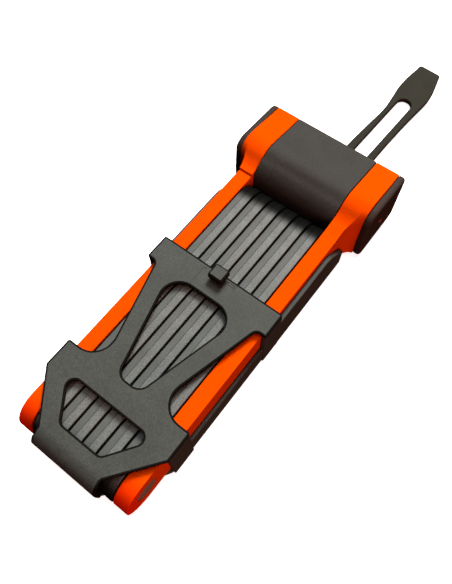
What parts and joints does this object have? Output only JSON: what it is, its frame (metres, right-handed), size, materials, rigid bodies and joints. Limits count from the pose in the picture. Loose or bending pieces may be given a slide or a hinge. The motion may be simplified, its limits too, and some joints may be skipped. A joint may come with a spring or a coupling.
{
  "type": "folding bike lock",
  "caption": "Folding bicycle lock of riveted steel bars with a keyed lock head, held in a moulded frame holder with a slotted rubber strap.",
  "frame": {"origin": "middle of the holder's rear mounting face, halfway between its two slotted screw holes", "axes": "+Y along the folded bars towards the lock head and the strap, +Z out of the holder's front panel, +X to the side of the fixed arm"},
  "size_m": [0.0728, 0.2795, 0.0348],
  "materials": {
    "holder_plastic": "fine matte grain",
    "strap_rubber": "smooth matte rubber",
    "orange_plastic": "fine satin grain",
    "bar_grey": "speckled fine grain",
    "head_plastic": "satin grain",
    "cap_plastic": "satin",
    "index_red": "glossy",
    "rivet_steel": "dark oxidised",
    "steel": "machined",
    "brass": "machined"
  },
  "bodies": {
    "holder": {"holder_back": "holder_plastic", "holder_front": "holder_plastic", "strap_root": "strap_rubber", "strap_rivet_1": "steel", "strap_rivet_2": "steel"},
    "strap_middle": {"strap_middle": "strap_rubber"},
    "strap_tip": {"strap_tip": "strap_rubber"},
    "lock": {"arm_cover": "orange_plastic", "arm_core": "steel", "head_cover": "head_plastic", "head_block_left": "orange_plastic", "end_cap_right": "cap_plastic", "end_cap_left": "cap_plastic", "index_mark": "index_red", "lock_case": "steel", "case_lid": "steel", "arm_bolt_1": "steel", "arm_bolt_2": "steel", "cylinder_housing": "brass", "bolt_spring": "steel", "lower_rivet_1": "rivet_steel"},
    "dust_cover": {"dust_cover": "cap_plastic"},
    "plug": {"cylinder_plug": "brass", "crank": "steel"},
    "bolt": {"bolt": "steel"},
    "bar_pair_1": {"bar_sleeve_6": "bar_grey", "bar_core_6": "steel", "bar_sleeve_5": "bar_grey", "bar_core_5": "steel", "upper_rivet_1": "rivet_steel", "lower_rivet_2": "rivet_steel"},
    "bar_pair_2": {"bar_sleeve_4": "bar_grey", "bar_core_4": "steel", "bar_sleeve_3": "bar_grey", "bar_core_3": "steel", "upper_rivet_2": "rivet_steel", "lower_rivet_3": "rivet_steel"},
    "bar_pair_3": {"bar_sleeve_2": "bar_grey", "bar_core_2": "steel", "bar_sleeve_1": "bar_grey", "bar_core_1": "steel", "upper_rivet_3": "rivet_steel", "lower_rivet_4": "rivet_steel"},
    "left_bar": {"left_bar_sleeve": "orange_plastic", "left_bar_core": "steel"}
  },
  "joints": [
    {"name": "lock_slide", "type": "slide", "parent": "holder", "child": "lock", "axis": [0, 1, 0], "range_m": [0, 0.32]},
    {"name": "lower_rivet_turn_1", "type": "hinge", "parent": "lock", "child": "bar_pair_1", "pos_m": [0.0212, -0.0592, 0.0147], "axis": [1, 0, 0], "range_deg": [0, 17.19]},
    {"name": "lower_rivet_turn_2", "type": "hinge", "parent": "bar_pair_1", "child": "bar_pair_2", "pos_m": [0.007, -0.0592, 0.0147], "axis": [1, 0, 0], "range_deg": [-17.19, 0]},
    {"name": "lower_rivet_turn_3", "type": "hinge", "parent": "bar_pair_2", "child": "bar_pair_3", "pos_m": [-0.007, -0.0592, 0.0147], "axis": [1, 0, 0], "range_deg": [0, 17.19]},
    {"name": "lower_rivet_turn_4", "type": "hinge", "parent": "bar_pair_3", "child": "left_bar", "pos_m": [-0.0212, -0.0592, 0.0147], "axis": [1, 0, 0], "range_deg": [-17.19, 0]},
    {"name": "strap_lift", "type": "hinge", "parent": "holder", "child": "strap_middle", "pos_m": [0.0047, 0.115, 0.0031], "axis": [1, 0, 0], "range_deg": [0, 90]},
    {"name": "strap_fold", "type": "hinge", "parent": "strap_middle", "child": "strap_tip", "pos_m": [0.0047, 0.1475, 0.0031], "axis": [1, 0, 0], "range_deg": [0, 90]},
    {"name": "dust_cover_slide", "type": "slide", "parent": "lock", "child": "dust_cover", "axis": [0, -1, 0], "range_m": [0, 0.0109]},
    {"name": "plug_turn", "type": "hinge", "parent": "lock", "child": "plug", "pos_m": [-0.022, 0.1, 0.0154], "axis": [-1, 0, 0], "range_deg": [0, 90]},
    {"name": "bolt_slide", "type": "slide", "parent": "lock", "child": "bolt", "axis": [0, 0, 1], "range_m": [0, 0.00566], "deforming": ["bolt_spring"]}
  ],
  "couplings": [
    {"joint": "lower_rivet_turn_1", "follows": "lock_slide", "rad_per_m": 0.9375},
    {"joint": "lower_rivet_turn_2", "follows": "lock_slide", "rad_per_m": -0.9375},
    {"joint": "lower_rivet_turn_3", "follows": "lock_slide", "rad_per_m": 0.9375},
    {"joint": "lower_rivet_turn_4", "follows": "lock_slide", "rad_per_m": -0.9375},
    {"joint": "strap_fold", "follows": "strap_lift", "ratio": 1},
    {"joint": "bolt_slide", "follows": "plug_turn", "m_per_rad": 0.0036}
  ]
}
